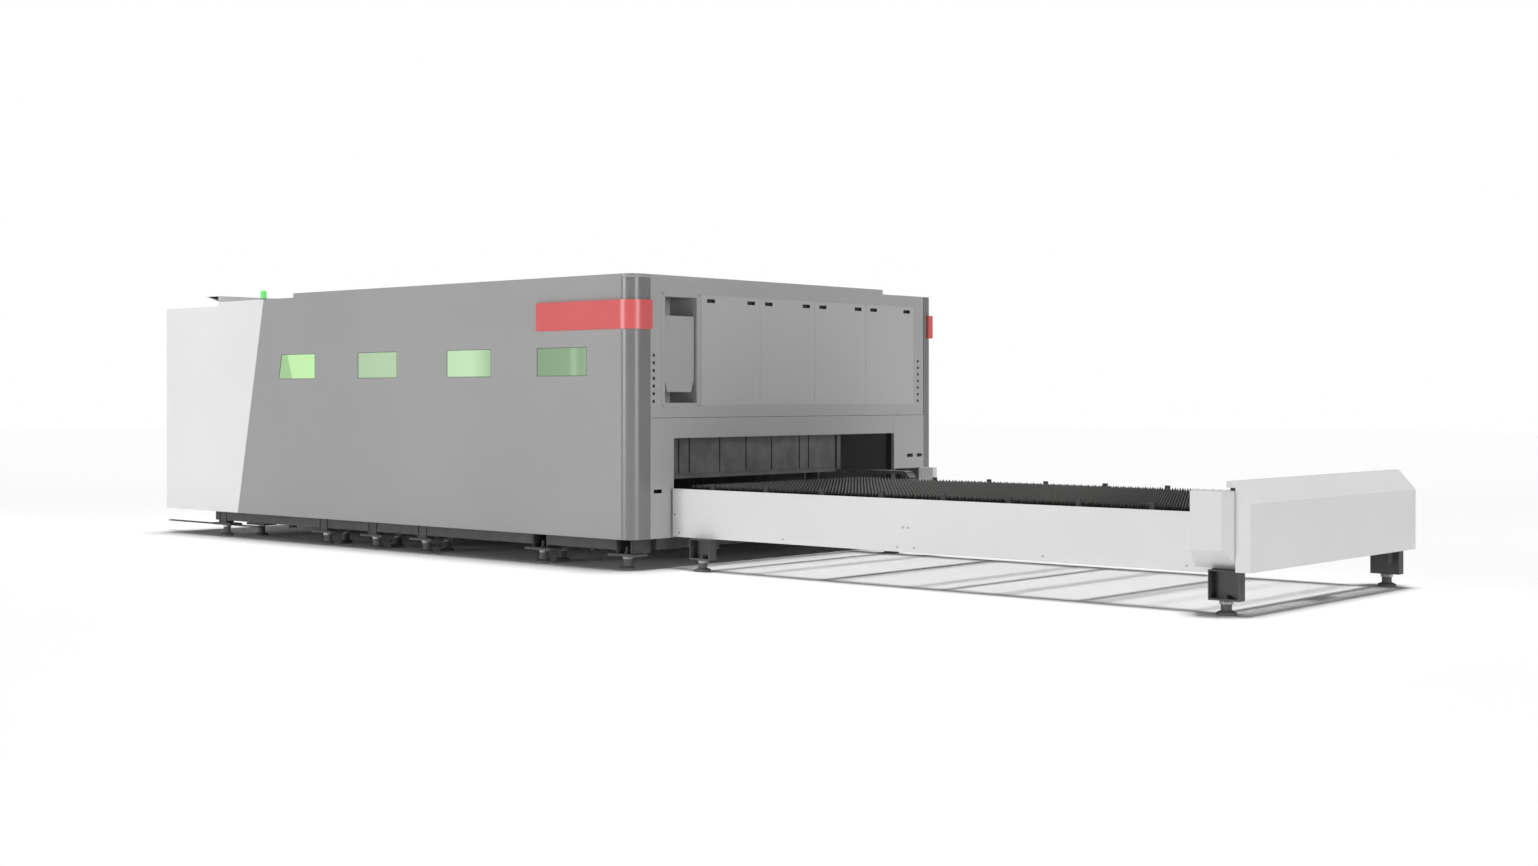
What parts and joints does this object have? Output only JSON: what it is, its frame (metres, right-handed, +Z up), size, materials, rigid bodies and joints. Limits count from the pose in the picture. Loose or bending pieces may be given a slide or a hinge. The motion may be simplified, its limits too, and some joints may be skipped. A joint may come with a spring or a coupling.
{
  "type": "fiber laser cutting machine",
  "caption": "Enclosed laser cutting machine with a two-level pallet exchange table, gantry, lifting door and saw-tooth slat pallets.",
  "frame": {"origin": "bottom centre of the whole machine on the floor", "axes": "+X along the machine towards the exchange table, +Y across it to the far side, +Z up"},
  "size_m": [11.843, 3.876, 2.345],
  "materials": {
    "grey_paint": "satin powder coat",
    "white_paint": "satin powder coat",
    "dark_paint": "matt structure paint",
    "red_plate": "gloss",
    "green_glass": "laser safety glass",
    "lamp_green": "gloss",
    "bare_steel": "ground",
    "slat_steel": "oxidised hot rolled"
  },
  "bodies": {
    "machine": {"near_grey_panel": "grey_paint", "near_white_panel": "white_paint", "far_side_panel": "grey_paint", "left_end_wall": "white_paint", "near_corner_post": "grey_paint", "far_corner_post": "grey_paint", "end_upper_panel": "grey_paint", "end_portal": "grey_paint", "end_right_column": "grey_paint", "niche_liner": "grey_paint", "niche_box": "grey_paint", "access_panel_1": "grey_paint", "access_panel_2": "grey_paint", "access_panel_3": "grey_paint", "access_panel_4": "grey_paint", "window_panes": "green_glass", "near_band_plate": "red_plate", "far_band_plate": "red_plate", "roof_raised": "grey_paint", "roof_low": "grey_paint", "roof_visor": "grey_paint", "signal_lamp": "lamp_green", "enclosure_frame": "dark_paint", "bed_frame": "dark_paint", "levelling_feet": "dark_paint", "gantry_rails": "bare_steel", "gantry_racks": "bare_steel", "door_guides": "dark_paint", "laser_source": "white_paint", "table_frame": "dark_paint", "near_skirt": "white_paint", "far_skirt": "white_paint", "end_cover": "white_paint", "near_guard": "white_paint", "far_guard": "white_paint", "far_inner_cover": "white_paint", "drive_motor": "dark_paint", "drive_chains": "bare_steel", "screws": "bare_steel"},
    "lift": {"lift_frame": "dark_paint"},
    "upper_pallet": {"upper_pallet_frame": "dark_paint", "upper_slats": "slat_steel"},
    "upper_inner_wheels": {"upper_axle_inner": "bare_steel"},
    "upper_outer_wheels": {"upper_axle_outer": "bare_steel"},
    "lower_pallet": {"lower_pallet_frame": "dark_paint", "lower_slats": "slat_steel"},
    "lower_inner_wheels": {"lower_axle_inner": "bare_steel"},
    "lower_outer_wheels": {"lower_axle_outer": "bare_steel"},
    "door": {"inner_door": "dark_paint"},
    "chain_shaft": {"drive_shaft": "bare_steel"},
    "service_leaf": {"service_door": "white_paint"},
    "left_tray": {"scrap_tray_left": "dark_paint"},
    "right_tray": {"scrap_tray_right": "dark_paint"},
    "gantry": {"gantry_beam": "white_paint"},
    "near_drive": {"near_pinion": "bare_steel"},
    "far_drive": {"far_pinion": "bare_steel"},
    "carriage": {"y_carriage": "dark_paint"},
    "carriage_drive": {"carriage_pinion": "bare_steel"},
    "head": {"z_slide": "dark_paint", "cutting_head": "bare_steel"}
  },
  "joints": [
    {"name": "gantry_travel", "type": "slide", "parent": "machine", "child": "gantry", "axis": [1, 0, 0], "range_m": [-2.1, 1.9]},
    {"name": "near_pinion_spin", "type": "hinge", "parent": "gantry", "child": "near_drive", "pos_m": [-2.0815, -1.6783, 0.812], "axis": [0, 0, 1], "continuous": true},
    {"name": "far_pinion_spin", "type": "hinge", "parent": "gantry", "child": "far_drive", "pos_m": [-2.0815, 1.0123, 0.812], "axis": [0, 0, 1], "continuous": true},
    {"name": "carriage_travel", "type": "slide", "parent": "gantry", "child": "carriage", "axis": [0, 1, 0], "range_m": [-0.95, 0.95]},
    {"name": "carriage_pinion_spin", "type": "hinge", "parent": "carriage", "child": "carriage_drive", "pos_m": [-1.8862, -0.333, 1.062], "axis": [0, 0, 1], "continuous": true},
    {"name": "head_lift", "type": "slide", "parent": "carriage", "child": "head", "axis": [0, 0, 1], "range_m": [-0.08, 0.07]},
    {"name": "inner_door_lift", "type": "slide", "parent": "machine", "child": "door", "axis": [0, 0, 1], "range_m": [0, 0.4]},
    {"name": "pallet_lift", "type": "slide", "parent": "machine", "child": "lift", "axis": [0, 0, 1], "range_m": [0, 0.175]},
    {"name": "upper_pallet_travel", "type": "slide", "parent": "machine", "child": "upper_pallet", "axis": [1, 0, 0], "range_m": [-5.3, 0]},
    {"name": "upper_inner_wheels_roll", "type": "hinge", "parent": "upper_pallet", "child": "upper_inner_wheels", "pos_m": [1.3985, -0.333, 0.535], "axis": [0, 1, 0], "continuous": true},
    {"name": "upper_outer_wheels_roll", "type": "hinge", "parent": "upper_pallet", "child": "upper_outer_wheels", "pos_m": [5.0985, -0.333, 0.535], "axis": [0, 1, 0], "continuous": true},
    {"name": "lower_pallet_travel", "type": "slide", "parent": "lift", "child": "lower_pallet", "axis": [-1, 0, 0], "range_m": [-5.3, 0]},
    {"name": "lower_inner_wheels_roll", "type": "hinge", "parent": "lower_pallet", "child": "lower_inner_wheels", "pos_m": [-3.9015, -0.333, 0.36], "axis": [0, 1, 0], "continuous": true},
    {"name": "lower_outer_wheels_roll", "type": "hinge", "parent": "lower_pallet", "child": "lower_outer_wheels", "pos_m": [-0.2015, -0.333, 0.36], "axis": [0, 1, 0], "continuous": true},
    {"name": "chain_shaft_turn", "type": "hinge", "parent": "machine", "child": "chain_shaft", "pos_m": [5.7185, -0.333, 0.442], "axis": [0, 1, 0], "continuous": true},
    {"name": "service_door_hinge", "type": "hinge", "parent": "machine", "child": "service_leaf", "pos_m": [-5.6735, -0.419, 1.225], "axis": [0, 0, 1], "range_deg": [0, 110]},
    {"name": "left_tray_draw", "type": "slide", "parent": "machine", "child": "left_tray", "axis": [0, 1, 0], "range_m": [0, 1.9]},
    {"name": "right_tray_draw", "type": "slide", "parent": "machine", "child": "right_tray", "axis": [0, 1, 0], "range_m": [0, 1.9]}
  ],
  "couplings": [
    {"joint": "near_pinion_spin", "follows": "gantry_travel", "rad_per_m": 33.333},
    {"joint": "far_pinion_spin", "follows": "gantry_travel", "rad_per_m": -33.333},
    {"joint": "carriage_pinion_spin", "follows": "carriage_travel", "rad_per_m": 33.333},
    {"joint": "upper_inner_wheels_roll", "follows": "upper_pallet_travel", "rad_per_m": 33.333},
    {"joint": "upper_outer_wheels_roll", "follows": "upper_pallet_travel", "rad_per_m": 33.333},
    {"joint": "lower_inner_wheels_roll", "follows": "lower_pallet_travel", "rad_per_m": -33.333},
    {"joint": "lower_outer_wheels_roll", "follows": "lower_pallet_travel", "rad_per_m": -33.333},
    {"joint": "chain_shaft_turn", "follows": "upper_pallet_travel", "rad_per_m": 30.303}
  ]
}
